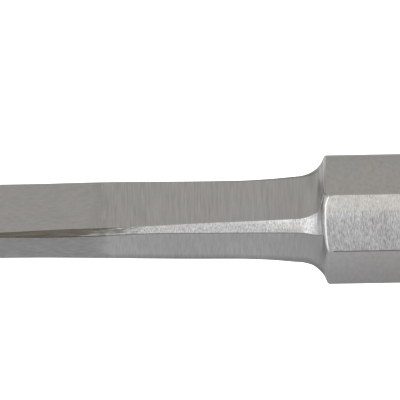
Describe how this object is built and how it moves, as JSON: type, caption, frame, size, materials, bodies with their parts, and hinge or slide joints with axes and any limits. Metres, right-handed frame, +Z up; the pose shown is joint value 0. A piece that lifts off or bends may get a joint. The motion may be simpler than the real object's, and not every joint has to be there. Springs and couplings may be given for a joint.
{
  "type": "v parting tool",
  "caption": "Full-size woodcarving V parting tool with a forged steel blade, octagonal bolster and tapered octagonal wooden handle.",
  "frame": {"origin": "on the surface the tool lies on, under the middle of its bounding box", "axes": "+X along the tool towards the butt of the handle, -Y out of the keel of the V, +Z up; the tool lies on one flat of its handle"},
  "size_m": [0.2524, 0.0238, 0.0238],
  "materials": {
    "blade_steel": "satin ground, lengthwise grain on the blade, crosswise grain on the shank and bolster",
    "ash_wood": "sanded and oiled",
    "ferrule_steel": "as drawn"
  },
  "bodies": {
    "root": {"v_blade": "blade_steel", "handle": "ash_wood", "inner_ferrule": "ferrule_steel"}
  },
  "joints": []
}
